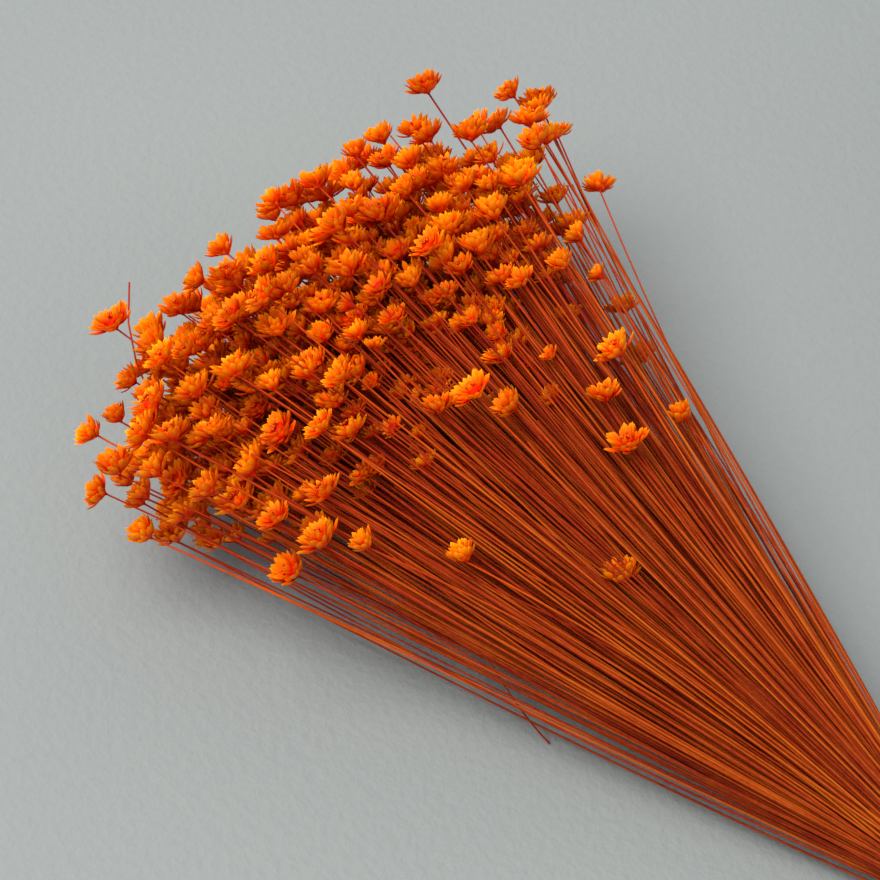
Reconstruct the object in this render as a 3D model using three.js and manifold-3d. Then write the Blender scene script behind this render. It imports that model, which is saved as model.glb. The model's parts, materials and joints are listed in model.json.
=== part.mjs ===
// A bunch of dried glixia (small star-shaped everlasting flowers on wire-thin stems), dyed orange.
// It lies on its side on a table. Its stems are gathered under an elastic band near their cut ends,
// fan out from there and end in a low dome of flower heads.
//
// Millimetres, +Z up. The origin is on the table, in the middle of the flat spot under the band.
// +X runs along the stems to their cut ends, and the heads lie towards -X.
import * as THREE from "three";
import { mergeVertices } from "three/addons/utils/BufferGeometryUtils.js";
import Module from "manifold-3d";

// The band, and the stems gathered in it.
const BUNDLE_RADIUS = 13;
const FIT_GAP = 0.3; // between pieces that touch on the real bunch
const BAND_TURNS = 3;
const BAND_THICKNESS = 2.2;
const BAND_PITCH = 5;
const BAND_CREST = 3.6; // width of a turn where it stands out furthest
const BAND_GROOVE = 0.9; // depth between two turns
const BAND_FLAT_DEPTH = 0.35; // how far the table presses the band flat
const BAND_SEGMENTS = 20;
const BAND_OUTER_RADIUS = BUNDLE_RADIUS + FIT_GAP + BAND_THICKNESS;
const AXIS_HEIGHT = BAND_OUTER_RADIUS - BAND_FLAT_DEPTH; // of the bundle above the table, at the band

// The sprays: rings of equal wedges round a middle one, and how many flowers each of a ring's has.
const RINGS = [
  { sprays: 1, flowers: 18, turn: 0 },
  { sprays: 6, flowers: 18, turn: 0.35 },
  { sprays: 12, flowers: 19, turn: 0.1 },
];
const SPRAY_COUNT = RINGS.reduce((sum, ring) => sum + ring.sprays, 0);
const CORE_LENGTH = 19; // of the middle of a spray, where its stems are pressed together
const FAN_START = CORE_LENGTH / 2 - 0.1; // from the middle of the band to where the stems part
const ROOT_MARGIN = 0.68; // from a stem's middle to the side of its spray's wedge
const CORE_ARC_STEP = Math.PI / 12;
const SEED = 8; // of every random draw
const GOLDEN_SHARE = (3 - Math.sqrt(5)) / 2; // of a wedge, from each flower to the next

// The fan of stems and the dome that the heads end in, measured from the band.
const DOME_EDGE_REACH = 248; // of the outermost heads
const DOME_LEAN = 18; // that its top lies back
const DOME_DEPTHS = { top: 44, foot: 16 }; // that its middle stands further out than its edge
const DOME_HALF_WIDTH = 94;
const DOME_TOP = 46; // above the middle of the dome
const DOME_FOOT = 40; // below it
const DOME_HEIGHT = 50; // of the middle of the dome above the table
const OUTWARD_CROWDING = 0.8; // under 1, more of the heads stand near the edge
const UPWARD_CROWDING = 0.34; // over 0, more of them stand near the top
const REACH_SCATTER = 15;
const SHORT_STEMS = 40; // how much shorter the shortest of the outer stems is
const SHORT_STEM_RARITY = 3;
const PLACE_SCATTER = 0.05;
const FLARE = 1.08; // over 1, the stems bend outwards on their way
const BOW = 4; // of a stem, sideways, at half its length

// Cut ends behind the band. Only one stem in TAIL_EVERY shows there.
const TAIL_LENGTH = 92;
const TAIL_SCATTER = 9;
const TAIL_SPREAD = { across: 0.6, up: 0.12 }; // how much wider the bundle is there, as shares
const TAIL_EVERY = 6;

// One flower.
const STEM_RADIUS = 0.5;
const STEM_SIDES = 3;
const PETALS = 6;
const HEAD_RADIUS = 5.7; // to the tips of the outer petals
const HEAD_HEIGHT = 6.4; // from the end of the stem to their tips
const INNER_PETAL = { radius: 0.76, height: 1.15 }; // every second petal, as shares of an outer one
const NOTCH = { radius: 0.72, height: 0.54 }; // between two petals, in the same shares
const FLOOR_HEIGHT = 0.5; // of the hollow in the middle of the head
const HEAD_SIZES = [0.84, 1.16];
const PETAL_SCATTER = 0.1;
const HEAD_TILT = 0.5; // sideways, against the stem's own direction
const HEAD_LIFT = 0.6; // towards the light

// Flowers that stand apart from the dome: reach from the band, turn in degrees round the bundle from
// its side, and how far out, in shares of the fan's half width and half height.
const STRAYS = [
  { reach: 284, turn: 32, out: 0.8 },
  { reach: 268, turn: 14, out: 1 },
  { reach: 262, turn: 8, out: 1.06 },
  { reach: 256, turn: 15, out: 1.02 },
  { reach: 248, turn: 10, out: 1.06 },
  { reach: 224, turn: 12, out: 1.12 },
  { reach: 192, turn: 0, out: 1.04 },
  { reach: 180, turn: -18, out: 1.04 },
  { reach: 164, turn: 62, out: 1.04 },
  { reach: 156, turn: 67, out: 1.04 },
  { reach: 140, turn: 72, out: 1.04 },
  { reach: 140, turn: 44, out: 1.04 },
  { reach: 196, turn: 56, out: 1.04 },
  { reach: 180, turn: 100, out: 1.04 },
  { reach: 184, turn: 106, out: 1.04 },
  { reach: 168, turn: 94, out: 1.04 },
  { reach: 204, turn: 122, out: 1.04 },
  { reach: 192, turn: 140, out: 1.04 },
  { reach: 200, turn: 156, out: 1.04 },
  { reach: 190, turn: 164, out: 1.04 },
  { reach: 184, turn: 150, out: 1.04 },
  { reach: 174, turn: 143, out: 1.04 },
  { reach: 152, turn: 136, out: 1.04 },
  { reach: 116, turn: 106, out: 1.04 },
  { reach: 280, turn: 144, out: 0.8 },
];

// Room between neighbours, found by pushing them apart.
const PASSES = 140;
const PLANE_STEP = 4;
const PUSH = 0.45; // of each overlap, in one pass
const MOST_PUSH = 1.2;
const HEAD_ROOM = 5.6; // radius of a ball round a head
const HEAD_ROOM_AT = 4.1; // of its middle, from the end of the stem
const STEM_ROOM = 0.7;
const OWN_SPRAY_ROOM = 0.76; // between two stems of one spray, as a share of the usual room
const MOST_LEVERAGE = 2;
const HEAD_YIELD = 0.85; // how much of the way a head gives to a stem it would touch
const PIECE_GAP = 0.08; // the least between solids of two sprays
const OWN_SPRAY_GAP = 0.02; // and between two flowers of one spray, outside its core
const MEND_ROUNDS = 40;
const MEND_REACH = 1;
const MEND_STEP = 0.15;
const STRAIGHTENING = 0.06; // of a pushed stem, in one pass
const TABLE_CLEARANCE = 0.15;
const POINTS = ["root", "middle", "end"]; // of a stem: each is moved on its own

const SMALLEST_DETAIL = 0.02; // anything smaller is smoothed away where flowers are joined
const DRIED_ORANGE = 0xe2701a;
const BAND_TAN = 0xc79a62;

// Turns +X, +Y and +Z into +Y, +Z and +X, so that what runs along +Z lies along the stems.
const LYING = new THREE.Matrix4().makeBasis(
  new THREE.Vector3(0, 1, 0),
  new THREE.Vector3(0, 0, 1),
  new THREE.Vector3(1, 0, 0),
);

// Draws numbers from 0 to 1, the same ones in each run.
function randomSource(seed) {
  let state = seed;
  return () => {
    state = (state * 1664525 + 1013904223) % 4294967296;
    return state / 4294967296;
  };
}

const mix = (a, b, t) => a + (b - a) * t;

// The wedge of the round bundle that each spray fills, in shares of the bundle's radius.
function sprayWedges() {
  const wedges = [];
  let inner = 0;
  for (const ring of RINGS) {
    const outer = Math.sqrt(inner * inner + ring.sprays / SPRAY_COUNT);
    for (let k = 0; k < ring.sprays; k++) {
      const width = (2 * Math.PI) / ring.sprays;
      wedges.push({ inner, outer, from: ring.turn + k * width, width, flowers: ring.flowers });
    }
    inner = outer;
  }
  return wedges;
}

// Where one of a wedge's flowers is in it, in shares of the bundle's radius and as an angle.
function placeInWedge(wedge, index) {
  const share = (index + 0.5) / wedge.flowers;
  const radius = Math.sqrt(mix(wedge.inner * wedge.inner, wedge.outer * wedge.outer, share));
  return { radius, turn: (index * GOLDEN_SHARE) % 1 };
}

// The nearest place to one in the bundle that is inside a wedge and clear of its sides.
function insideWedge(wedge, place) {
  const low = wedge.inner ? wedge.inner * BUNDLE_RADIUS + ROOT_MARGIN : 0;
  const high = wedge.outer * BUNDLE_RADIUS - ROOT_MARGIN;
  const radius = Math.max(low, Math.min(high, Math.hypot(place[0], place[1])));
  const middle = wedge.from + wedge.width / 2;
  const aside = Math.atan2(
    place[1] * Math.cos(middle) - place[0] * Math.sin(middle),
    place[0] * Math.cos(middle) + place[1] * Math.sin(middle),
  );
  const most = wedge.width / 2 - (wedge.inner ? ROOT_MARGIN / radius : 0);
  const angle = middle + Math.max(-most, Math.min(most, aside));
  return [radius * Math.cos(angle), radius * Math.sin(angle)];
}

// Where a flower's stem passes the band, before its neighbours push it aside.
function rootPlace(wedge, index) {
  const place = placeInWedge(wedge, index);
  const radius = place.radius * BUNDLE_RADIUS;
  const angle = wedge.from + wedge.width * place.turn;
  return insideWedge(wedge, [radius * Math.cos(angle), radius * Math.sin(angle)]);
}

// The same flower's place in the dome, in shares of its half width and half height.
function domePlace(wedge, index, random) {
  const place = placeInWedge(wedge, index);
  const radius = Math.pow(place.radius, OUTWARD_CROWDING);
  const angle = wedge.from + wedge.width * place.turn;
  const across = radius * Math.cos(angle) + (random() - 0.5) * PLACE_SCATTER;
  const up = radius * Math.sin(angle) + (random() - 0.5) * PLACE_SCATTER;
  return [across, up + UPWARD_CROWDING * (1 - radius * radius)];
}

// How far from the band the dome's surface is at a place in it.
function domeReach(across, up) {
  const depth = mix(DOME_DEPTHS.foot, DOME_DEPTHS.top, Math.max(0, Math.min(1, 0.5 + up)));
  const bulge = depth * (1 - Math.min(1, across * across + up * up));
  return DOME_EDGE_REACH + bulge - DOME_LEAN * Math.max(0, up);
}

// How far the head at a place in the dome stands from the band.
function headReach(across, up, random) {
  const scatter = (random() - 0.5) * 2 * REACH_SCATTER;
  const shorter = SHORT_STEMS * Math.pow(random(), SHORT_STEM_RARITY);
  const outer = across * across + up * up > 0.6 && up > -0.3;
  return domeReach(across, up) + scatter - (outer ? shorter : 0);
}

// A flower's sideways place and height at its head, for a place in the dome and a reach.
function headPlace(across, up, reach) {
  const grown = Math.pow(reach / domeReach(across, up), FLARE);
  const rise = up * (up > 0 ? DOME_TOP : DOME_FOOT);
  return [
    across * DOME_HALF_WIDTH * grown,
    AXIS_HEIGHT + (DOME_HEIGHT - AXIS_HEIGHT + rise) * grown,
  ];
}

// Every flower, each with its stem's place at the band, half-way point and end, and its head's direction.
function plannedFlowers() {
  const random = randomSource(SEED);
  const flowers = [];
  sprayWedges().forEach((wedge, spray) => {
    for (let index = 0; index < wedge.flowers; index++) {
      const root = rootPlace(wedge, index);
      const place = domePlace(wedge, index, random);
      const reach = headReach(place[0], place[1], random);
      const end = headPlace(place[0], place[1], reach);
      const bow = [(random() - 0.5) * 2 * BOW, (random() - 0.5) * 2 * BOW];
      const tilt = [(random() - 0.5) * 2 * HEAD_TILT, (random() - 0.5) * 2 * HEAD_TILT];
      const size = mix(HEAD_SIZES[0], HEAD_SIZES[1], random());
      const seed = SEED * 1000 + flowers.length;
      flowers.push({ spray, wedge, index, root, place, reach, end, bow, tilt, size, seed, stray: false });
    }
  });
  placeStrays(flowers);
  for (const flower of flowers) {
    const rootHeight = AXIS_HEIGHT + flower.root[1];
    flower.root = [flower.root[0], rootHeight];
    const share = Math.pow(0.5, FLARE);
    flower.middle = flower.root.map((at, k) => mix(at, flower.end[k], share) + flower.bow[k]);
    flower.axis = headAxis(flower);
  }
  return flowers;
}

// Each stray takes over the flower whose place in the dome is nearest to its own.
function placeStrays(flowers) {
  for (const stray of STRAYS) {
    const turn = THREE.MathUtils.degToRad(stray.turn);
    const place = [stray.out * Math.cos(turn), stray.out * Math.sin(turn)];
    const distance = (flower) => Math.hypot(flower.place[0] - place[0], flower.place[1] - place[1]);
    const free = flowers.filter((flower) => !flower.stray);
    const nearest = free.reduce((best, next) => (distance(next) < distance(best) ? next : best));
    nearest.stray = true;
    nearest.reach = stray.reach;
    nearest.end = headPlace(place[0], place[1], stray.reach);
  }
}

// The way a head faces: on along its stem, tilted at random and lifted a little.
function headAxis(flower) {
  const length = (flower.reach - FAN_START) / 2;
  const aside = (flower.end[0] - flower.middle[0]) / length + flower.tilt[0];
  const above = (flower.end[1] - flower.middle[1]) / length + flower.tilt[1] + HEAD_LIFT;
  return new THREE.Vector3(-1, aside, above).normalize();
}

// The lowest height of a stem's end at which no petal of its head dips into the table.
function lowestEnd(flower) {
  const rise = flower.axis.z * HEAD_HEIGHT * flower.size;
  const spread = Math.sqrt(1 - flower.axis.z * flower.axis.z) * HEAD_RADIUS * flower.size;
  return TABLE_CLEARANCE + Math.max(STEM_RADIUS, spread * (1 + PETAL_SCATTER / 2) - rise);
}

// A flower's place and room in the plane at a reach, or null beyond its head. lever is how far each of
// its points moves it there.
function crossing(flower, reach) {
  const along = (reach - FAN_START) / (flower.reach - FAN_START);
  const centre = flower.reach - flower.axis.x * HEAD_ROOM_AT * flower.size;
  const inHead = HEAD_ROOM * flower.size;
  const off = Math.abs(reach - centre);
  if (off < inHead) {
    return {
      at: [0, 1].map(
        (k) => flower.end[k] + (k ? flower.axis.z : flower.axis.y) * HEAD_ROOM_AT * flower.size,
      ),
      room: Math.sqrt(inHead * inHead - off * off),
      lever: [0, 0, 1],
      isHead: true,
    };
  }
  if (along > 1) return null;
  const lever = [Math.max(0, 1 - 2 * along), 1 - Math.abs(2 * along - 1), Math.max(0, 2 * along - 1)];
  return {
    at: [0, 1].map((k) => lever.reduce((sum, share, n) => sum + share * flower[POINTS[n]][k], 0)),
    room: STEM_ROOM,
    lever,
    isHead: false,
  };
}

// Calls visit with each two flowers that may be near each other in a plane across the fan.
function visitNeighbours(flowers, visit) {
  const farthest = Math.max(...flowers.map((flower) => flower.reach)) + HEAD_HEIGHT;
  for (let reach = FAN_START; reach < farthest; reach += PLANE_STEP) {
    const crossings = [];
    for (const flower of flowers) {
      const found = crossing(flower, reach);
      if (found) crossings.push({ flower, ...found });
    }
    crossings.sort((a, b) => a.at[0] - b.at[0]);
    crossings.forEach((a, i) => {
      for (let j = i + 1; j < crossings.length; j++) {
        if (crossings[j].at[0] - a.at[0] > 2 * HEAD_ROOM * HEAD_SIZES[1]) break;
        visit(a, crossings[j]);
      }
    });
  }
}

// Pushes flowers apart until heads and stems pass clear of each other.
function makeRoom(flowers) {
  for (let pass = 0; pass < PASSES; pass++) {
    for (const flower of flowers) flower.push = { root: [0, 0], middle: [0, 0], end: [0, 0] };
    visitNeighbours(flowers, separate);
    for (const flower of flowers) settle(flower);
  }
}

// The way from one flower to another in a plane, and how much room is missing between them.
function between(a, b) {
  const across = a.at[0] - b.at[0];
  const up = a.at[1] - b.at[1];
  const apart = Math.sqrt(across * across + up * up);
  const related = a.flower.spray === b.flower.spray && !a.isHead && !b.isHead;
  const missing = (a.room + b.room) * (related ? OWN_SPRAY_ROOM : 1) - apart;
  return { across: apart ? across / apart : 1, up: apart ? up / apart : 0, missing };
}

function separate(a, b) {
  const { across, up, missing } = between(a, b);
  if (missing <= 0) return;
  const shareOfA = a.isHead === b.isHead ? 0.5 : a.isHead ? HEAD_YIELD : 1 - HEAD_YIELD;
  shove(a, across, up, PUSH * missing * shareOfA);
  shove(b, -across, -up, PUSH * missing * (1 - shareOfA));
}

// Moves flowers a little further apart wherever their solids still come too close.
function mendGaps(flowers) {
  for (let round = 0; round < MEND_ROUNDS; round++) {
    const pairs = new Map();
    visitNeighbours(flowers, (a, b) => {
      const key = [a.flower.seed, b.flower.seed].sort((m, n) => m - n).join();
      const { across, up, missing } = between(a, b);
      if (missing < -MEND_REACH || missing < (pairs.get(key)?.missing ?? -Infinity)) return;
      pairs.set(key, { a, b, across, up, missing });
    });
    const solids = new Map();
    for (const flower of flowers) {
      flower.push = { root: [0, 0], middle: [0, 0], end: [0, 0] };
      solids.set(flower, flowerSolid(flower));
    }
    let mended = 0;
    for (const { a, b, across, up } of pairs.values()) {
      const least = a.flower.spray === b.flower.spray ? OWN_SPRAY_GAP : PIECE_GAP;
      if (solids.get(a.flower).minGap(solids.get(b.flower), least) >= least) continue;
      shove(a, across, up, MEND_STEP);
      shove(b, -across, -up, MEND_STEP);
      mended += 1;
    }
    if (!mended) return;
    for (const flower of flowers) settle(flower);
  }
}

// Moves a flower's points so that it moves by a distance where it is crossed.
function shove(one, across, up, distance) {
  const grip = one.lever.reduce((sum, share) => sum + share * share, 0);
  POINTS.forEach((point, k) => {
    const gain = distance * Math.min(MOST_LEVERAGE, one.lever[k] / grip);
    one.flower.push[point][0] += across * gain;
    one.flower.push[point][1] += up * gain;
  });
}

// Applies a flower's pushes, straightens its stem a little and keeps it off the table.
function settle(flower) {
  for (const point of POINTS) {
    const step = flower.push[point];
    const length = Math.sqrt(step[0] * step[0] + step[1] * step[1]);
    const most = Math.min(1, MOST_PUSH / Math.max(length, 1e-9));
    flower[point][0] += step[0] * most;
    flower[point][1] += step[1] * most;
  }
  const inBundle = [flower.root[0], flower.root[1] - AXIS_HEIGHT];
  const kept = insideWedge(flower.wedge, inBundle);
  flower.root = [kept[0], kept[1] + AXIS_HEIGHT];
  const share = Math.pow(0.5, FLARE);
  for (const k of [0, 1]) {
    const straight = mix(flower.root[k], flower.end[k], share) + flower.bow[k];
    flower.middle[k] = mix(flower.middle[k], straight, STRAIGHTENING);
  }
  flower.end[1] = Math.max(flower.end[1], lowestEnd(flower));
  flower.middle[1] = Math.max(flower.middle[1], STEM_RADIUS + TABLE_CLEARANCE);
}

// Places round an axis, at a turn and a distance from it. side and other are square to the axis.
function around(centre, side, other, turn, radius) {
  return centre
    .clone()
    .addScaledVector(side, radius * Math.cos(turn))
    .addScaledVector(other, radius * Math.sin(turn));
}

// The middles of a stem's cross sections, from its root in the core, or its cut end, to its head.
function stemLine(flower, random) {
  const line = [
    new THREE.Vector3(-FAN_START, flower.root[0], flower.root[1]),
    new THREE.Vector3(-(FAN_START + flower.reach) / 2, flower.middle[0], flower.middle[1]),
    new THREE.Vector3(-flower.reach, flower.end[0], flower.end[1]),
  ];
  if (flower.index % TAIL_EVERY === 0) {
    const across = flower.root[0] * (1 + TAIL_SPREAD.across);
    const up = AXIS_HEIGHT + (flower.root[1] - AXIS_HEIGHT) * (1 + TAIL_SPREAD.up);
    line.unshift(
      new THREE.Vector3(TAIL_LENGTH + random() * TAIL_SCATTER, across, up),
      new THREE.Vector3(FAN_START, flower.root[0], flower.root[1]),
    );
  } else {
    line.unshift(new THREE.Vector3(0, flower.root[0], flower.root[1]));
  }
  return line;
}

// The rim of a head: the tips of its petals, by turns in the outer and the inner layer, and the
// notches between them.
function headRim(flower, roll, random) {
  const base = new THREE.Vector3(-flower.reach, flower.end[0], flower.end[1]);
  const side = new THREE.Vector3(0, 0, 1).addScaledVector(flower.axis, -flower.axis.z).normalize();
  const other = new THREE.Vector3().crossVectors(flower.axis, side);
  const rim = [];
  for (let k = 0; k < PETALS; k++) {
    const layer = k % 2 ? INNER_PETAL : { radius: 1, height: 1 };
    for (const [share, offset] of [[layer, 0], [NOTCH, 0.5]]) {
      const grown = flower.size * (1 + (random() - 0.5) * PETAL_SCATTER);
      const centre = base.clone().addScaledVector(flower.axis, HEAD_HEIGHT * share.height * grown);
      const turn = roll + ((k + offset) * 2 * Math.PI) / PETALS;
      rim.push(around(centre, side, other, turn, HEAD_RADIUS * share.radius * grown));
    }
  }
  return { rim, floor: base.addScaledVector(flower.axis, HEAD_HEIGHT * FLOOR_HEIGHT * flower.size) };
}

// A flower as one closed mesh: its stem runs on into the outside of its star-shaped head.
function flowerMesh(flower) {
  const random = randomSource(flower.seed);
  const roll = random() * 2 * Math.PI;
  const up = new THREE.Vector3(0, 0, 1);
  const across = new THREE.Vector3(0, 1, 0);
  const points = [];
  const faces = [];
  const line = stemLine(flower, random);
  for (const centre of line) {
    for (let side = 0; side < STEM_SIDES; side++) {
      const turn = roll + ((side + 0.5) * 2 * Math.PI) / STEM_SIDES;
      points.push(around(centre, up, across, turn, STEM_RADIUS));
    }
  }
  faces.push([0, 2, 1]);
  for (let section = 1; section < line.length; section++) {
    for (let side = 0; side < STEM_SIDES; side++) {
      const below = (section - 1) * STEM_SIDES;
      const next = (side + 1) % STEM_SIDES;
      faces.push([below + side, below + next, below + STEM_SIDES + next]);
      faces.push([below + side, below + STEM_SIDES + next, below + STEM_SIDES + side]);
    }
  }
  const ring = (line.length - 1) * STEM_SIDES;
  const first = points.length;
  const { rim, floor } = headRim(flower, roll, random);
  points.push(...rim, floor);
  const rimPoint = (k) => first + (k % rim.length);
  for (let side = 0; side < STEM_SIDES; side++) {
    const from = Math.round((side * rim.length) / STEM_SIDES);
    const to = Math.round(((side + 1) * rim.length) / STEM_SIDES);
    for (let k = from; k < to; k++) {
      faces.push([ring + side, rimPoint(k + 1), rimPoint(k)]);
      faces.push([points.length - 1, rimPoint(k), rimPoint(k + 1)]);
    }
    faces.push([ring + side, ring + ((side + 1) % STEM_SIDES), rimPoint(to)]);
  }
  return { points, faces };
}

// The solid middle of a spray: its wedge of the bundle, drawn in by half the gap to its neighbours.
function coreGeometry(wedge) {
  const low = wedge.inner * BUNDLE_RADIUS + FIT_GAP / 2;
  const high = wedge.outer * BUNDLE_RADIUS - FIT_GAP / 2;
  const steps = Math.round(wedge.width / CORE_ARC_STEP);
  const arc = (radius, k) => {
    const margin = wedge.inner ? FIT_GAP / 2 / radius : 0;
    const angle = wedge.from + mix(margin, wedge.width - margin, k / steps);
    return new THREE.Vector2(radius * Math.cos(angle), radius * Math.sin(angle));
  };
  const outline = [];
  for (let k = 0; k < (wedge.inner ? steps + 1 : steps); k++) outline.push(arc(high, k));
  if (wedge.inner) {
    for (let k = steps; k >= 0; k--) outline.push(arc(low, k));
  }
  const core = new THREE.ExtrudeGeometry(new THREE.Shape(outline), {
    depth: CORE_LENGTH,
    bevelEnabled: false,
  });
  core.translate(0, 0, -CORE_LENGTH / 2);
  core.applyMatrix4(LYING);
  core.translate(0, 0, AXIS_HEIGHT);
  return core;
}

// A rubber band wound round the bundle, pressed a little flat by the table.
function bandSolid() {
  const inner = BUNDLE_RADIUS + FIT_GAP;
  const half = (BAND_TURNS * BAND_PITCH) / 2;
  const profile = [new THREE.Vector2(inner, half), new THREE.Vector2(inner, -half)];
  for (let turn = 0; turn < BAND_TURNS; turn++) {
    const middle = (turn + 0.5) * BAND_PITCH - half;
    profile.push(new THREE.Vector2(BAND_OUTER_RADIUS - BAND_GROOVE, middle - BAND_PITCH / 2));
    profile.push(new THREE.Vector2(BAND_OUTER_RADIUS, middle - BAND_CREST / 2));
    profile.push(new THREE.Vector2(BAND_OUTER_RADIUS, middle + BAND_CREST / 2));
  }
  profile.push(new THREE.Vector2(BAND_OUTER_RADIUS - BAND_GROOVE, half));
  profile.push(profile[0].clone());
  const ring = new THREE.LatheGeometry(profile, BAND_SEGMENTS);
  ring.rotateX(Math.PI / 2);
  ring.rotateZ(Math.PI / BAND_SEGMENTS);
  ring.applyMatrix4(LYING);
  ring.translate(0, 0, AXIS_HEIGHT);
  const below = new THREE.BoxGeometry(4 * half, 4 * inner, 2 * inner);
  below.translate(0, 0, -inner);
  return solid(ring).subtract(solid(below));
}

// A closed geometry as a solid that can be joined and cut.
function solid(geometry) {
  geometry.deleteAttribute("normal");
  geometry.deleteAttribute("uv");
  const merged = mergeVertices(geometry, 1e-5);
  return new wasm.Manifold(
    new wasm.Mesh({
      numProp: 3,
      vertProperties: new Float32Array(merged.attributes.position.array),
      triVerts: new Uint32Array(merged.index.array),
    }),
  );
}

function flowerSolid(flower) {
  const { points, faces } = flowerMesh(flower);
  return new wasm.Manifold(
    new wasm.Mesh({
      numProp: 3,
      vertProperties: new Float32Array(points.flatMap((point) => point.toArray())),
      triVerts: new Uint32Array(faces.flat()),
    }),
  );
}

function sprayMesh(wedge, flowers, name) {
  let spray = solid(coreGeometry(wedge));
  for (const flower of flowers) spray = spray.add(flowerSolid(flower));
  return namedMesh(spray.asOriginal().simplify(SMALLEST_DETAIL), name, DRIED_ORANGE, 0.8);
}

function namedMesh(body, name, color, roughness) {
  const mesh = body.getMesh();
  const geometry = new THREE.BufferGeometry();
  geometry.setAttribute("position", new THREE.BufferAttribute(mesh.vertProperties, 3));
  geometry.setIndex(new THREE.BufferAttribute(mesh.triVerts, 1));
  geometry.computeVertexNormals();
  const material = new THREE.MeshStandardMaterial({ color, roughness, metalness: 0, flatShading: true });
  const named = new THREE.Mesh(geometry, material);
  named.name = name;
  return named;
}

const wasm = await Module();
wasm.setup();

const flowers = plannedFlowers();
makeRoom(flowers);
mendGaps(flowers);

const bunch = new THREE.Group();
bunch.name = "dried_glixia_bunch";
sprayWedges().forEach((wedge, index) => {
  const ownFlowers = flowers.filter((flower) => flower.spray === index);
  bunch.add(sprayMesh(wedge, ownFlowers, `spray_${String(index + 1).padStart(2, "0")}`));
});
bunch.add(namedMesh(bandSolid(), "rubber_band", BAND_TAN, 0.7));

export default bunch;
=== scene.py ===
import json
import math

import bpy
import numpy as np
from mathutils import Matrix, Vector

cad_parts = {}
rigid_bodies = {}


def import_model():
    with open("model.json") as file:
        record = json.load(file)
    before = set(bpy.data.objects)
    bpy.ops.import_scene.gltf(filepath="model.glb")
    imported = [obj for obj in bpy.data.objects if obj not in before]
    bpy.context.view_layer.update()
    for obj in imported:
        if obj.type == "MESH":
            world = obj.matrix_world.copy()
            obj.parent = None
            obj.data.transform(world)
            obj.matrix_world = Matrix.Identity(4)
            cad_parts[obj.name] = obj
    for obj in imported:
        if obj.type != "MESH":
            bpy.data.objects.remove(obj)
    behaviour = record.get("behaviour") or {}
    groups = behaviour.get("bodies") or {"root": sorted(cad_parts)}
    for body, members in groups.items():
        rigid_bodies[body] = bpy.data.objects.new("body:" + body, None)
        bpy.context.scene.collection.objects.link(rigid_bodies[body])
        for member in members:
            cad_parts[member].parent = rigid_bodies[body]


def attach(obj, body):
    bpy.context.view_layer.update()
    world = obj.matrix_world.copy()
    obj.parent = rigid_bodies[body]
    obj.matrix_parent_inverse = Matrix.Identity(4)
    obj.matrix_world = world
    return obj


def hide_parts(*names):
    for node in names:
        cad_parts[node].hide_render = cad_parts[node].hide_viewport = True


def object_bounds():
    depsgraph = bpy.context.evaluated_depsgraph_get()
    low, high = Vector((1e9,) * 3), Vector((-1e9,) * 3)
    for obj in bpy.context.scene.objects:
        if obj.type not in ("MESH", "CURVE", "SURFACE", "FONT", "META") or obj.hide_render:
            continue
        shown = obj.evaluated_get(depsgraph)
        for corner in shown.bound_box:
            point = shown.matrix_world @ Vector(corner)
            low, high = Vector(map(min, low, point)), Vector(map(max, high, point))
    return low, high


MM = 0.001

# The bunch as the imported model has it, in millimetres.
BUNDLE_RADIUS = 13.0
FIT_GAP = 0.3  # between pieces that touch on the real bunch
BAND_TURNS = 3
BAND_THICKNESS = 2.2
BAND_PITCH = 5.0
BAND_FLAT_DEPTH = 0.35  # how far the table presses the band flat
BAND_OUTER_RADIUS = BUNDLE_RADIUS + FIT_GAP + BAND_THICKNESS
AXIS_HEIGHT = BAND_OUTER_RADIUS - BAND_FLAT_DEPTH  # of the bundle above the table, at the band
RINGS = [(1, 18, 0.0), (6, 18, 0.35), (12, 19, 0.1)]  # sprays, flowers in each, turn
SPRAY_COUNT = sum(ring[0] for ring in RINGS)
CORE_LENGTH = 19.0  # of the middle of a spray, where its stems are pressed together
FAN_START = CORE_LENGTH / 2 - 0.1  # from the middle of the band to where the stems part
ROOT_MARGIN = 0.68  # from a stem's middle to the side of its spray's wedge
SEED = 8  # of every random draw
DRAW_FACTOR, DRAW_STEP, DRAW_RANGE = 1664525, 1013904223, 2**32  # from one draw to the next
GOLDEN_SHARE = (3 - math.sqrt(5)) / 2  # of a wedge, from each flower to the next
DOME_EDGE_REACH = 248.0  # of the outermost heads
DOME_LEAN = 18.0  # that its top lies back
DOME_DEPTH_TOP, DOME_DEPTH_FOOT = 44.0, 16.0  # that its middle stands further out than its edge
DOME_HALF_WIDTH = 94.0
DOME_TOP, DOME_FOOT = 46.0, 40.0  # above and below its middle
DOME_HEIGHT = 50.0  # of its middle above the table
OUTWARD_CROWDING = 0.8  # under 1, more of the heads stand near the edge
UPWARD_CROWDING = 0.34  # over 0, more of them stand near the top
REACH_SCATTER = 15.0
SHORT_STEMS = 40.0  # how much shorter the shortest of the outer stems is
SHORT_STEM_RARITY = 3
SHORT_STEM_EDGE, SHORT_STEM_FOOT = 0.6, -0.3  # an outer stem's least squared distance and height
PLACE_SCATTER = 0.05
FLARE = 1.08  # over 1, the stems bend outwards on their way
BOW = 4.0  # of a stem, sideways, at half its length
TAIL_LENGTH = 92.0
TAIL_SCATTER = 9.0
TAIL_ACROSS, TAIL_UP = 0.6, 0.12  # how much wider the bundle is there, as shares
STEM_RADIUS = 0.5
HEAD_RADIUS = 5.7  # to the tips of the outer petals
HEAD_HEIGHT = 6.4  # from the end of the stem to their tips
HEAD_SIZES = (0.84, 1.16)
PETAL_SCATTER = 0.1
HEAD_TILT = 0.5  # sideways, against the stem's own direction
HEAD_LIFT = 0.6  # towards the light
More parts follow.
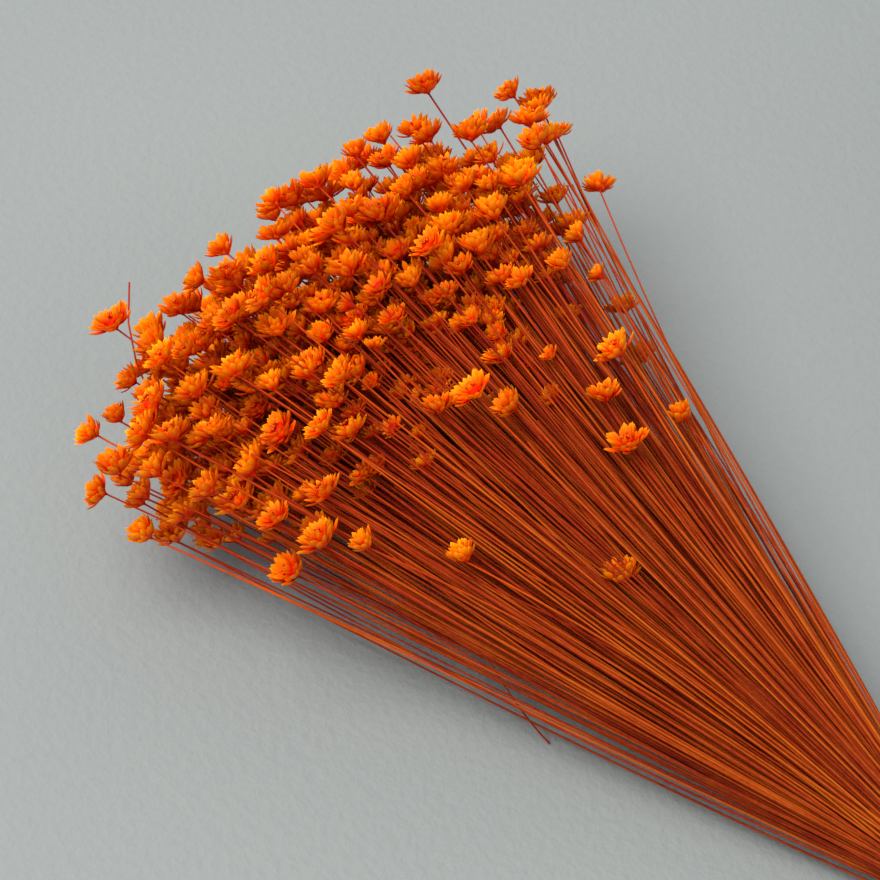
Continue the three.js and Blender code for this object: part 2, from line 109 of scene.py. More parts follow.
STRAYS = [  # flowers that stand apart: reach, turn in degrees, how far out
    (284, 32, 0.8), (268, 14, 1), (262, 8, 1.06), (256, 15, 1.02), (248, 10, 1.06),
    (224, 12, 1.12), (192, 0, 1.04), (180, -18, 1.04), (164, 62, 1.04), (156, 67, 1.04),
    (140, 72, 1.04), (140, 44, 1.04), (196, 56, 1.04), (180, 100, 1.04), (184, 106, 1.04),
    (168, 94, 1.04), (204, 122, 1.04), (192, 140, 1.04), (200, 156, 1.04), (190, 164, 1.04),
    (184, 150, 1.04), (174, 143, 1.04), (152, 136, 1.04), (116, 106, 1.04), (280, 144, 0.8),
]
PASSES = 140
PLANE_STEP = 4.0
PUSH = 0.45  # of each overlap, in one pass
MOST_PUSH = 1.2
HEAD_ROOM = 5.6  # radius of a ball round a head
HEAD_ROOM_AT = 4.1  # of its middle, from the end of the stem
STEM_ROOM = 0.7
OWN_SPRAY_ROOM = 0.76  # between two stems of one spray, as a share of the usual room
MOST_LEVERAGE = 2.0
HEAD_YIELD = 0.85  # how much of the way a head gives to a stem it would touch
STRAIGHTENING = 0.06  # of a pushed stem, in one pass
TABLE_CLEARANCE = 0.15
NEAR_PAIR = 5.0  # how close two flowers come before their pair is followed from pass to pass
PAIR_PASSES = 4  # passes between two searches for such pairs


def random_source(seed):
    """Draws numbers from 0 to 1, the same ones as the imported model's."""
    state = seed

    def draw():
        nonlocal state
        state = (state * DRAW_FACTOR + DRAW_STEP) % DRAW_RANGE
        return state / DRAW_RANGE

    return draw


def mix(a, b, t):
    return a + (b - a) * t


def spray_wedges():
    """Each spray's wedge of the bundle: inner and outer radius as shares, start, width and flowers."""
    wedges, inner = [], 0.0
    for sprays, flowers, turn in RINGS:
        outer = math.sqrt(inner * inner + sprays / SPRAY_COUNT)
        width = 2 * math.pi / sprays
        for k in range(sprays):
            wedges.append((inner, outer, turn + k * width, width, flowers))
        inner = outer
    return wedges


def inside_wedges(wedge, at):
    """Places in the bundle, one for each row, moved inside their wedges."""
    inner, outer, start, width = wedge.T
    low = np.where(inner > 0, inner * BUNDLE_RADIUS + ROOT_MARGIN, 0)
    radius = np.clip(np.hypot(at[:, 0], at[:, 1]), low, outer * BUNDLE_RADIUS - ROOT_MARGIN)
    middle = start + width / 2
    aside = np.arctan2(
        at[:, 1] * np.cos(middle) - at[:, 0] * np.sin(middle),
        at[:, 0] * np.cos(middle) + at[:, 1] * np.sin(middle),
    )
    most = width / 2 - np.where(inner > 0, ROOT_MARGIN / np.maximum(radius, 1e-9), 0)
    angle = middle + np.clip(aside, -most, most)
    return np.stack([radius * np.cos(angle), radius * np.sin(angle)], 1)


def dome_reach(across, up):
    """How far from the band the dome of heads stands, at a place in it from -1 to 1."""
    depth = mix(DOME_DEPTH_FOOT, DOME_DEPTH_TOP, max(0, min(1, 0.5 + up)))
    bulge = depth * (1 - min(1, across * across + up * up))
    return DOME_EDGE_REACH + bulge - DOME_LEAN * max(0, up)


def head_place(across, up, reach):
    """Where a stem that points at a place in the dome comes to at some reach."""
    grown = (reach / dome_reach(across, up)) ** FLARE
    rise = up * (DOME_TOP if up > 0 else DOME_FOOT)
    return across * DOME_HALF_WIDTH * grown, AXIS_HEIGHT + (DOME_HEIGHT - AXIS_HEIGHT + rise) * grown


def planned_flowers():
    """Every flower as one row in a dictionary of arrays."""
    random = random_source(SEED)
    rows = []
    for spray, (inner, outer, start, width, count) in enumerate(spray_wedges()):
        for index in range(count):
            share = (index + 0.5) / count
            radius = math.sqrt(mix(inner * inner, outer * outer, share))
            angle = start + width * ((index * GOLDEN_SHARE) % 1)
            root = (radius * BUNDLE_RADIUS * math.cos(angle), radius * BUNDLE_RADIUS * math.sin(angle))
            out = radius**OUTWARD_CROWDING
            across = out * math.cos(angle) + (random() - 0.5) * PLACE_SCATTER
            up = out * math.sin(angle) + (random() - 0.5) * PLACE_SCATTER
            up += UPWARD_CROWDING * (1 - out * out)
            scatter = (random() - 0.5) * 2 * REACH_SCATTER
            shorter = SHORT_STEMS * random() ** SHORT_STEM_RARITY
            outer_stem = across * across + up * up > SHORT_STEM_EDGE and up > SHORT_STEM_FOOT
            reach = dome_reach(across, up) + scatter - (shorter if outer_stem else 0)
            bow = [(random() - 0.5) * 2 * BOW for _ in range(2)]
            tilt = [(random() - 0.5) * 2 * HEAD_TILT for _ in range(2)]
            size = mix(*HEAD_SIZES, random())
            rows.append({
                "spray": spray, "wedge": (inner, outer, start, width), "root": root,
                "place": (across, up), "reach": reach, "end": head_place(across, up, reach),
                "bow": bow, "tilt": tilt, "size": size, "stray": False,
            })
    for reach, turn, out in STRAYS:
        at = (out * math.cos(math.radians(turn)), out * math.sin(math.radians(turn)))
        free = [row for row in rows if not row["stray"]]
        nearest = min(free, key=lambda row: math.hypot(row["place"][0] - at[0], row["place"][1] - at[1]))
        nearest.update(stray=True, reach=reach, end=head_place(*at, reach))
    flowers = {key: np.array([row[key] for row in rows], float) for key in rows[0]}
    flowers["root"] = inside_wedges(flowers["wedge"], flowers["root"]) + (0, AXIS_HEIGHT)
    share = 0.5**FLARE
    flowers["middle"] = mix(flowers["root"], flowers["end"], share) + flowers["bow"]
    length = ((flowers["reach"] - FAN_START) / 2)[:, None]
    sideways = (flowers["end"] - flowers["middle"]) / length + flowers["tilt"] + (0, HEAD_LIFT)
    axis = np.concatenate([-np.ones((len(rows), 1)), sideways], 1)
    flowers["axis"] = axis / np.linalg.norm(axis, axis=1, keepdims=True)
    return flowers


def crossings(flowers):
    """In planes across the fan: which flowers each one crosses, their room there and their levers."""
    reach, size, axis = flowers["reach"], flowers["size"], flowers["axis"]
    planes = np.arange(FAN_START, reach.max() + HEAD_HEIGHT, PLANE_STEP)[:, None]
    along = (planes - FAN_START) / (reach - FAN_START)
    in_head = HEAD_ROOM * size
    off = np.abs(planes - (reach - axis[:, 0] * HEAD_ROOM_AT * size))
    head = off < in_head
    room = np.where(head, np.sqrt(np.maximum(in_head**2 - off**2, 0)), STEM_ROOM)
    stem_levers = [np.maximum(0, 1 - 2 * along), 1 - np.abs(2 * along - 1), np.maximum(0, 2 * along - 1)]
    levers = np.stack([np.where(head, k == 2, lever) for k, lever in enumerate(stem_levers)], 2)
    return {"head": head, "there": head | (along <= 1), "room": room, "levers": levers.astype(float)}


def places_in_planes(flowers, cross):
    """Where each flower crosses each plane."""
    points = np.stack([flowers["root"], flowers["middle"], flowers["end"]], 1)
    at = np.einsum("pfk,fkc->pfc", cross["levers"], points)
    lifted = flowers["axis"][:, 1:] * (HEAD_ROOM_AT * flowers["size"])[:, None]
    return at + cross["head"][:, :, None] * lifted


def near_pairs(at, cross):
    """Pairs of flowers that come close in a plane: the plane and the two flowers."""
    plane, a, b = [], [], []
    for k in range(len(at)):
        here = np.nonzero(cross["there"][k])[0]
        apart = np.linalg.norm(at[k, here][:, None] - at[k, here][None], axis=2)
        close = apart < cross["room"][k, here][:, None] + cross["room"][k, here][None] + NEAR_PAIR
        i, j = np.nonzero(np.triu(close, 1))
        plane.append(np.full(len(i), k))
        a.append(here[i])
        b.append(here[j])
    return np.concatenate(plane), np.concatenate(a), np.concatenate(b)


def make_room(flowers):
    """Pushes flowers apart until heads and stems pass clear of each other."""
    cross = crossings(flowers)
    grip = (cross["levers"] ** 2).sum(2)
    gains = np.minimum(MOST_LEVERAGE, cross["levers"] / grip[:, :, None])
    spray, count = flowers["spray"], len(flowers["reach"])
    for turn in range(PASSES):
        at = places_in_planes(flowers, cross)
        if turn % PAIR_PASSES == 0:
            plane, a, b = near_pairs(at, cross)
            head_a, head_b = cross["head"][plane, a], cross["head"][plane, b]
            related = (spray[a] == spray[b]) & ~head_a & ~head_b
            wanted = cross["room"][plane, a] + cross["room"][plane, b]
            wanted = wanted * np.where(related, OWN_SPRAY_ROOM, 1)
            share_a = np.where(head_a == head_b, 0.5, np.where(head_a, HEAD_YIELD, 1 - HEAD_YIELD))
        way = at[plane, a] - at[plane, b]
        apart = np.linalg.norm(way, axis=1)
        way = np.where(apart[:, None] > 0, way / np.maximum(apart, 1e-12)[:, None], (1, 0))
        distance = PUSH * np.maximum(0, wanted - apart)
        moved = distance > 0
        push = np.zeros((count, 3, 2))
        for who, part in ((a[moved], share_a[moved]), (b[moved], share_a[moved] - 1)):
            gain = gains[plane[moved], who] * (distance[moved] * part)[:, None]
            for point in range(3):
                for side in range(2):
                    step = gain[:, point] * way[moved, side]
                    push[:, point, side] += np.bincount(who, step, count)
        length = np.linalg.norm(push, axis=2, keepdims=True)
        push *= np.minimum(1, MOST_PUSH / np.maximum(length, 1e-9))
        settle(flowers, push)


def settle(flowers, push):
    """Applies the pushes, straightens the stems a little and keeps them off the table."""
    axis, size = flowers["axis"], flowers["size"]
    for k, point in enumerate(("root", "middle", "end")):
        flowers[point] = flowers[point] + push[:, k]
    in_bundle = inside_wedges(flowers["wedge"], flowers["root"] - (0, AXIS_HEIGHT))
    flowers["root"] = in_bundle + (0, AXIS_HEIGHT)
    straight = mix(flowers["root"], flowers["end"], 0.5**FLARE) + flowers["bow"]
    flowers["middle"] = mix(flowers["middle"], straight, STRAIGHTENING)
    spread = np.sqrt(1 - axis[:, 2] ** 2) * HEAD_RADIUS * size * (1 + PETAL_SCATTER / 2)
    lowest = TABLE_CLEARANCE + np.maximum(STEM_RADIUS, spread - axis[:, 2] * HEAD_HEIGHT * size)
    flowers["end"][:, 1] = np.maximum(flowers["end"][:, 1], lowest)
    flowers["middle"][:, 1] = np.maximum(flowers["middle"][:, 1], STEM_RADIUS + TABLE_CLEARANCE)


# Finer forms, in millimetres. A head's own frame has its base at the origin and opens along +Z.
BRACT_LAYERS = [  # name, count, width, root radius and height, tip radius and height
    ("low_scale", 7, 2.2, 0.45, 0.1, 2.7, 2.7),
    ("high_scale", 10, 2.5, 0.6, 0.5, 4.5, 4.4),
    ("outer_bract", 14, 2.5, 0.8, 1.2, 6.4, 5.6),
    ("middle_bract", 13, 2.3, 0.9, 1.9, 5.4, 6.8),
    ("inner_bract", 9, 1.9, 0.8, 2.5, 3.6, 7.4),
]
SCALE_LAYERS = 2  # the lowest ones, short scales that open less than the bracts do
SCALE_OPENING = 0.35  # of the head's
LAYER_TURN = 0.13  # of the step between two bracts, from layer to layer
BRACT_ROWS = (0.0, 0.3, 0.6, 0.85)  # where along a bract its sides have points
BRACT_WIDEST = 0.58
BRACT_ROOT_TAPER = 0.6  # how much of its half width is gone at its root
BRACT_CURL = 0.7  # how much of its rise comes late
BRACT_FLARE = 0.7  # how far its tip bends out
BRACT_CUP = 0.5  # how much of its half width a bract's sides turn up
BRACT_CUP_WAY = (-0.8, 0.5)  # which way they turn, out and up
BRACT_SIZES = (0.84, 1.0)
BRACT_TURN_SCATTER = 0.16  # in radians, as the next two
BRACT_LEAN_SCATTER = (-0.2, 0.16)
BRACT_TWIST_SCATTER = 0.3
HEAD_VARIANTS = 6
HEAD_OPENNESS = (-0.1, 0.24)  # of the variants, in radians
HEAD_SEED_STEP = 10  # from one variant to the next
LEAN_SEED, TWIST_SEED, SIZE_SEED = 5, 7, 9  # beyond a layer's own
CUP_PROFILE = [(-0.4, 0.35), (0.1, 0.55), (1.1, 1.6), (2.4, 2.4), (3.6, 2.1), (4.1, 0.0)]  # height, radius
CUP_SIDES = 7
CUP_ALONG = 0.1  # it has the colour of a bract this far along, its darker root end, partly painted shade under the bracts
FLORETS = 12
FLORET_RADIUS = 0.55
FLORET_DEPTH = 1.2  # of its lower point, in radii
FLORET_WAIST_ALONG = 0.4
FLORET_SPREAD = 1.5
FLORET_FIRST = 0.4  # how far out the first one stands, in the count of those inside it
FLORET_HEIGHT = 4.6
FLORET_HEIGHT_SCATTER = 0.6
STEM_SIDES = 6
STEM_WIDTHS = (1.0, 0.92, 0.64)  # at the cut end, the band and the head
STEM_STOUTNESS = (0.86, 1.12)
STEM_SECTIONS = 13  # points along a stem, from the band to the head
TAIL_SECTIONS = 4  # and from its cut end to the band
TABLE_SKIN = 0.1  # least height of anything above the table
LOWEST_STEM = TABLE_SKIN + STEM_WIDTHS[2]  # least height of an added stem's middle
INNER_STEMS = [  # beside each flower's own: share of its length, how much nearer to the fan's middle
    ((0.9, 0.97), (0.08, 0.24)),
    ((0.95, 1.0), (0.12, 0.36)),
]
INNER_STEM_WIDTH = 0.84  # as a share of the flower's own stem
INNER_STEM_SCATTER = 4.2  # sideways, at its end
INNER_STEM_BOW = 3.0
INNER_STEM_BOW_LATE = 1.5  # over 1, the bow is widest past half its length
INNER_SHADED_TONE = 0.7  # the brightest, where a flower's own goes up to 1: painted shade, so the stems and heads inside the fan come out darker
INNER_HEAD_SIZES = (0.64, 0.88)
INNER_HEAD_TILT = 0.2
INNER_HEAD_VARIANTS = 3
INNER_HEAD_LACKS = ("Florets", "Count of low_scale", "Count of high_scale")
NEAR_SIDE = (1.0, 0.4)  # across and up: stems with least of it run along the fan's near edge
LOOSE_STEM_BOWS = (1.0, 2.2, 3.6)  # how far headless stems stand off there
LOOSE_STEM_BOW_WAY = (0, -1, -0.6)
LOOSE_STEM_BOW_LATE = 0.8
BENT_STEM = ((-9, -10, 16), (-150, -60, 25), (-262, -95, 40), (-298, -47.5, 71))  # corners of its curve
BROKEN_STEM = ((-165, -36, 22), (-147, -45, 31), (-130, -49, 15), (-113, -45, 0.5))
ODD_STEM_SECTIONS = 16
ODD_STEM_WIDTH = 0.62
ODD_STEM_TONE = 0.5
ODD_STEM_SPRAY = 13  # the spray that these two belong to, counted from 0


def srgb(red, green, blue):
    """A colour as Blender's linear numbers, from 0 to 255 values, by the sRGB standard."""
    shares = (red / 255, green / 255, blue / 255)
    linear = [c / 12.92 if c <= 0.04045 else ((c + 0.055) / 1.055) ** 2.4 for c in shares]
    return (*linear, 1.0)


def new_object(name, vertices, edges=(), faces=(), **values):
    """A mesh object from places in millimetres, with a number or vector for each vertex."""
    mesh = bpy.data.meshes.new(name)
    mesh.from_pydata([tuple(v) for v in np.asarray(vertices) * MM], list(edges), list(faces))
    for key, value in values.items():
        value = np.asarray(value, float)
        kind = "FLOAT_VECTOR" if value.ndim == 2 else "FLOAT"
        attribute = mesh.attributes.new(key, kind, "POINT")
        attribute.data.foreach_set("vector" if value.ndim == 2 else "value", value.ravel())
    made = bpy.data.objects.new(name, mesh)
    bpy.context.scene.collection.objects.link(made)
    return made


def bract_shape(name, width, root_radius, root_height, tip_radius, tip_height):
    """One papery bract along +X, cupped and pointed. along runs from its root, 0, to its tip, 1."""
    vertices, along, across = [], [], []

    def middle(t):
        flare = BRACT_FLARE * (t**4 - t)
        radius = mix(root_radius, tip_radius, math.sin(t * math.pi / 2)) + flare
        rise = mix(t, 1 - math.cos(t * math.pi / 2), BRACT_CURL)
        return radius, mix(root_height, tip_height, rise)

    for t in BRACT_ROWS:
        radius, height = middle(t)
        off = (t - BRACT_WIDEST) / (BRACT_WIDEST if t < BRACT_WIDEST else 1 - BRACT_WIDEST)
        half = width / 2 * (math.sqrt(1 - off * off) if off > 0 else 1 - BRACT_ROOT_TAPER * off * off)
        for side in (-1, 0, 1):
            lift = BRACT_CUP * half * abs(side)
            outward, upward = (lift * way for way in BRACT_CUP_WAY)
            vertices.append((radius + outward, side * half, height + upward))
            along.append(t)
            across.append(side)
    radius, height = middle(1)
    vertices.append((radius, 0, height))
    along.append(1)
    across.append(0)
    faces = []
    for row in range(len(BRACT_ROWS) - 1):
        for side in (0, 1):
            a = 3 * row + side
            faces.append((a, a + 3, a + 4, a + 1))
    last, tip = 3 * (len(BRACT_ROWS) - 1), 3 * len(BRACT_ROWS)
    faces += [(last, tip, last + 1), (last + 1, tip, last + 2)]
    return new_object(name, vertices, faces=faces, along=along, across=across)


def cup_shape():
    """The round cup in which a head's bracts stand."""
    vertices, faces = [], []
    for height, radius in CUP_PROFILE[:-1]:
        for side in range(CUP_SIDES):
            turn = 2 * math.pi * side / CUP_SIDES
            vertices.append((radius * math.cos(turn), radius * math.sin(turn), height))
    for ring in range(len(CUP_PROFILE) - 2):
        for side in range(CUP_SIDES):
            a, b = ring * CUP_SIDES + side, ring * CUP_SIDES + (side + 1) % CUP_SIDES
            faces.append((a, b, b + CUP_SIDES, a + CUP_SIDES))
    top = len(vertices)
    vertices.append((0, 0, CUP_PROFILE[-1][0]))
    for side in range(CUP_SIDES):
        faces.append((top - CUP_SIDES + side, top - CUP_SIDES + (side + 1) % CUP_SIDES, top))
    count = len(vertices)
    return new_object("cup", vertices, faces=faces, along=np.full(count, CUP_ALONG), across=np.zeros(count))


def floret_shape():
    """One small bud of a head's middle, an eight-sided drop."""
    ring = [(math.cos(k * math.pi / 2), math.sin(k * math.pi / 2), 0) for k in range(4)]
    vertices = np.array([(0, 0, -FLORET_DEPTH), *ring, (0, 0, 1)]) * FLORET_RADIUS
    faces = [(0, 1 + (k + 1) % 4, 1 + k) for k in range(4)]
    faces += [(5, 1 + k, 1 + (k + 1) % 4) for k in range(4)]
    along = [0, *[FLORET_WAIST_ALONG] * 4, 1]
    return new_object("floret", vertices, faces=faces, along=along, across=np.zeros(len(vertices)))


class Tree:
    """A node tree in the making. Each call adds a node and gives its first output."""

    def __init__(self, name, kind="GeometryNodeTree"):
        self.tree = bpy.data.node_groups.new(name, kind)
        self.nodes, self.links = self.tree.nodes, self.tree.links
        self.source = self.nodes.new("NodeGroupInput")
        self.target = self.nodes.new("NodeGroupOutput")

    def input(self, name, kind, value=None):
        socket = self.tree.interface.new_socket(name=name, in_out="INPUT", socket_type="NodeSocket" + kind)
        if value is not None:
            socket.default_value = value
        return self.source.outputs[name]

    def output(self, name, kind, source):
        self.tree.interface.new_socket(name=name, in_out="OUTPUT", socket_type="NodeSocket" + kind)
        self.links.new(source, self.target.inputs[name])

    def add(self, kind, inputs=None, output=0, **settings):
        node = self.nodes.new(kind)
        for key, value in settings.items():
            setattr(node, key, value)
        for key, value in (inputs or {}).items():
            self.feed(node.inputs[key], value)
        return node.outputs[output]

    def feed(self, socket, value):
        if isinstance(value, bpy.types.NodeSocket):
            self.links.new(value, socket)
        else:
            socket.default_value = value

    def math(self, operation, *values):
        return self.add("ShaderNodeMath", dict(enumerate(values)), operation=operation)

    def vector(self, x, y, z):
        return self.add("ShaderNodeCombineXYZ", {0: x, 1: y, 2: z})

    def random(self, low, high, number, seed):
        inputs = {2: low, 3: high, "ID": number, "Seed": seed}
        return self.add("FunctionNodeRandomValue", inputs, 1, data_type="FLOAT")

    def attribute(self, name, kind="FLOAT"):
        return self.add("GeometryNodeInputNamedAttribute", {"Name": name}, data_type=kind)

    def join(self, *parts):
        joined = self.nodes.new("GeometryNodeJoinGeometry")
        for part in reversed(parts):
            self.links.new(part, joined.inputs[0])
        return joined.outputs[0]


def head_tree(shapes, bract_material, centre_material):
    """Sets each layer of bracts round the cup, and the florets in it."""
    t = Tree("glixia_head")
    t.input("Geometry", "Geometry")
    openness = t.input("Openness", "Float", 0.0)
    seed = t.input("Seed", "Int", 0)
    floret_count = t.input("Florets", "Int", FLORETS)
    number = t.add("GeometryNodeInputIndex")
    layers = []
    for k, (name, count, *_) in enumerate(BRACT_LAYERS):
        amount = t.input("Count of " + name, "Int", count)
        shape = t.add("GeometryNodeObjectInfo", {"Object": shapes[name]}, "Geometry")
        points = t.add("GeometryNodePoints", {"Count": amount})
        own_seed = t.math("ADD", t.math("MULTIPLY", seed, HEAD_SEED_STEP), k)
        step = t.math("DIVIDE", 2 * math.pi, amount)
        half_step = 0.5 * (k % 2)
        turn = t.math("MULTIPLY", t.math("ADD", number, half_step + LAYER_TURN * k), step)
        turn_scatter = t.random(-BRACT_TURN_SCATTER, BRACT_TURN_SCATTER, number, own_seed)
        turn = t.math("ADD", turn, turn_scatter)
        opening = t.math("MULTIPLY", openness, SCALE_OPENING if k < SCALE_LAYERS else 1.0)
        lean_scatter = t.random(*BRACT_LEAN_SCATTER, number, t.math("ADD", own_seed, LEAN_SEED))
        lean = t.math("ADD", opening, lean_scatter)
        twist_seed = t.math("ADD", own_seed, TWIST_SEED)
        twist = t.random(-BRACT_TWIST_SCATTER, BRACT_TWIST_SCATTER, number, twist_seed)
        size = t.random(*BRACT_SIZES, number, t.math("ADD", own_seed, SIZE_SEED))
        layers.append(t.add("GeometryNodeInstanceOnPoints", {
            "Points": points, "Instance": shape,
            "Rotation": t.vector(twist, lean, turn), "Scale": t.vector(size, size, size),
        }))
    cup = t.add("GeometryNodeObjectInfo", {"Object": shapes["cup"]}, "Geometry")
    bracts = t.add("GeometryNodeRealizeInstances", {0: t.join(cup, *layers)})
    bracts = t.add("GeometryNodeSetMaterial", {0: bracts, "Material": bract_material})
    floret = t.add("GeometryNodeObjectInfo", {"Object": shapes["floret"]}, "Geometry")
    turn = t.math("MULTIPLY", number, 2 * math.pi * GOLDEN_SHARE)
    out = t.math("SQRT", t.math("DIVIDE", t.math("ADD", number, FLORET_FIRST), floret_count))
    out = t.math("MULTIPLY", out, FLORET_SPREAD * MM)
    highest = FLORET_HEIGHT + FLORET_HEIGHT_SCATTER
    height = t.random(FLORET_HEIGHT * MM, highest * MM, number, seed)
    x, y = (t.math("MULTIPLY", out, t.math(way, turn)) for way in ("COSINE", "SINE"))
    place = t.vector(x, y, height)
    points = t.add("GeometryNodePoints", {"Count": floret_count, "Position": place})
    florets = t.add("GeometryNodeInstanceOnPoints", {"Points": points, "Instance": floret})
    florets = t.add("GeometryNodeRealizeInstances", {0: florets})
    florets = t.add("GeometryNodeSetMaterial", {0: florets, "Material": centre_material})
    t.output("Geometry", "Geometry", t.join(bracts, florets))
    return t.tree


def spray_tree(heads, stem_material, box):
    """Round stems along the drawn lines, and a head from the variants at each head point, in a box."""
    t = Tree("glixia_spray")
    drawn = t.input("Geometry", "Geometry")
    sides = t.input("Stem Sides", "Int", STEM_SIDES)
    low = t.input("Low Corner", "Vector", box[0])
    high = t.input("High Corner", "Vector", box[1])
    is_head = t.math("GREATER_THAN", t.attribute("is_head"), 0.5)
    split = t.nodes.new("GeometryNodeSeparateGeometry")
    t.links.new(drawn, split.inputs[0])
    t.links.new(is_head, split.inputs[1])
    curve = t.add("GeometryNodeMeshToCurve", {0: split.outputs[1]})
    profile = t.add("GeometryNodeCurvePrimitiveCircle", {"Resolution": sides, "Radius": 0.5 * MM})
    tube = t.add("GeometryNodeCurveToMesh", {
        "Curve": curve, "Profile Curve": profile, "Scale": t.attribute("width"), "Fill Caps": True,
    })
    stems = t.add("GeometryNodeSetMaterial", {0: tube, "Material": stem_material})
    variants = t.add("GeometryNodeCollectionInfo", {
        "Collection": heads, "Separate Children": True, "Reset Children": True,
    })
    turn = t.add("FunctionNodeEulerToRotation", {0: t.attribute("turn", "FLOAT_VECTOR")})
    size = t.attribute("size")
    variant = t.add("FunctionNodeFloatToInt", {0: t.attribute("variant")})
    blooms = t.add("GeometryNodeInstanceOnPoints", {
        "Points": split.outputs[0], "Instance": variants, "Pick Instance": True, "Instance Index": variant,
        "Rotation": turn, "Scale": t.vector(size, size, size),
    })
    whole = t.add("GeometryNodeRealizeInstances", {0: t.join(stems, blooms)})
    place = t.add("GeometryNodeInputPosition")
    held = t.add("ShaderNodeVectorMath", {0: place, 1: low}, operation="MAXIMUM")
    held = t.add("ShaderNodeVectorMath", {0: held, 1: high}, operation="MINIMUM")
    whole = t.add("GeometryNodeSetPosition", {"Geometry": whole, "Position": held})
    whole = t.add("GeometryNodeSetShadeSmooth", {0: whole})
    t.output("Geometry", "Geometry", whole)
    return t.tree


def drop_empty_slots(mesh):
    """Leaves a mesh only the material slots that hold one."""
    kept = [k for k, material in enumerate(mesh.materials) if material]
    old = np.zeros(len(mesh.polygons), np.int32)
    mesh.polygons.foreach_get("material_index", old)
    finishes = [mesh.materials[k] for k in kept]
    renumbered = np.array([kept.index(k) if k in kept else 0 for k in range(len(mesh.materials))], np.int32)
    mesh.materials.clear()
    for finish in finishes:
        mesh.materials.append(finish)
    mesh.polygons.foreach_set("material_index", renumbered[old])


def grown(drawn, tree, name, **values):
    """The mesh that a tree makes from an object, as a plain object with the modifier gone."""
    modifier = drawn.modifiers.new(tree.name, "NODES")
    modifier.node_group = tree
    for item in tree.interface.items_tree:
        if item.item_type == "SOCKET" and item.in_out == "INPUT" and item.name in values:
            modifier[item.identifier] = values[item.name]
    bpy.context.view_layer.update()
    graph = bpy.context.evaluated_depsgraph_get()
    shaped = drawn.evaluated_get(graph)
    mesh = bpy.data.meshes.new_from_object(shaped, preserve_all_data_layers=True, depsgraph=graph)
    mesh.name = name
    drop_empty_slots(mesh)
    made = bpy.data.objects.new(name, mesh)
    bpy.context.scene.collection.objects.link(made)
    bpy.data.objects.remove(drawn)
    return made


def head_variants(bract_material, centre_material):
    """Several heads, a little more closed or open, in a collection of their own."""
    shapes = {name: bract_shape(name, *sizes) for name, _, *sizes in BRACT_LAYERS}
    shapes["cup"] = cup_shape()
    shapes["floret"] = floret_shape()
    tree = head_tree(shapes, bract_material, centre_material)
    heads = bpy.data.collections.new("glixia_heads")
    kinds = [(HEAD_VARIANTS, {}), (INNER_HEAD_VARIANTS, dict.fromkeys(INNER_HEAD_LACKS, 0))]
    for count, lacking in kinds:
        for k in range(count):
            openness = mix(*HEAD_OPENNESS, k / (count - 1))
            number = len(heads.objects)
            blank = new_object("head_blank", [(0, 0, 0)])
            head = grown(blank, tree, f"head_{number}", Openness=openness, Seed=number + 1, **lacking)
            bpy.context.scene.collection.objects.unlink(head)
            heads.objects.link(head)
    return heads, list(shapes.values())


def stem_line(flowers, k, random):
    """The places along one stem, from its cut end to its head, and its width at each.

    From the band on it's a curve through its root, its middle and its end.
    """
    root, middle, end = (flowers[key][k] for key in ("root", "middle", "end"))
    reach = flowers["reach"][k]
    tail = np.array([root[0] * (1 + TAIL_ACROSS), AXIS_HEIGHT + (root[1] - AXIS_HEIGHT) * (1 + TAIL_UP)])
    cut = TAIL_LENGTH + random.random() * TAIL_SCATTER
    line, width = [], []
    for step in range(TAIL_SECTIONS):
        s = step / (TAIL_SECTIONS - 1)
        at = mix(tail, root, s * s * (3 - 2 * s))
        line.append((mix(cut, FAN_START, s), *at))
        width.append(mix(STEM_WIDTHS[0], STEM_WIDTHS[1], s))
    for step in range(STEM_SECTIONS):
        s = step / (STEM_SECTIONS - 1)
        at = root * (1 - s) * (1 - 2 * s) + middle * 4 * s * (1 - s) + end * s * (2 * s - 1)
        line.append((-mix(FAN_START, reach, s), *at))
        width.append(mix(STEM_WIDTHS[1], STEM_WIDTHS[2], s))
    return line, width


def inner_stem(line, shares, depths, random):
    """A shorter stem beside another one, further inside the fan, with a bow of its own."""
    share = mix(*shares, random.random())
    along = np.linspace(0, 1, len(line))
    places = np.stack([np.interp(along * share, along, values) for values in np.array(line).T], 1)
    inward = np.array([0, -places[-1, 1], DOME_HEIGHT - places[-1, 2]]) * mix(*depths, random.random())
    off = inward + np.array([0, *random.normal(0, INNER_STEM_SCATTER, 2)])
    bow = np.array([0, *random.normal(0, INNER_STEM_BOW, 2)])
    bent = np.sin(math.pi * along**INNER_STEM_BOW_LATE)
    places = places + off * along[:, None] + bow * bent[:, None]
    places[:, 2] = np.maximum(places[:, 2], LOWEST_STEM)
    return places


def loose_stem(line, bow):
    """A headless stem that bows out from another one's line and lies near the table."""
    places = np.array(line)
    out = np.sin(np.linspace(0, 1, len(places)) ** LOOSE_STEM_BOW_LATE * math.pi)
    places = places + bow * out[:, None] * np.array(LOOSE_STEM_BOW_WAY)
    places[:, 2] = np.maximum(places[:, 2], LOWEST_STEM)
    return places


def curved_stem(corners):
    """Places along a Bezier curve."""
    s = np.linspace(0, 1, ODD_STEM_SECTIONS)[:, None]
    a, b, c, d = (np.array(corner, float) for corner in corners)
    return a * (1 - s) ** 3 + 3 * b * s * (1 - s) ** 2 + 3 * c * s**2 * (1 - s) + d * s**3


def head_turn(axis, roll):
    """The turn that stands a head along its axis, rolled round it."""
    upright = Vector((0, 0, 1)).rotation_difference(Vector(axis))
    return (upright.to_matrix() @ Matrix.Rotation(roll, 3, "Z")).to_euler()


def near_edge(flowers):
    """The flowers whose stems run along the fan's near edge, the outermost first."""
    return np.argsort(flowers["middle"] @ NEAR_SIDE)[: len(LOOSE_STEM_BOWS)]


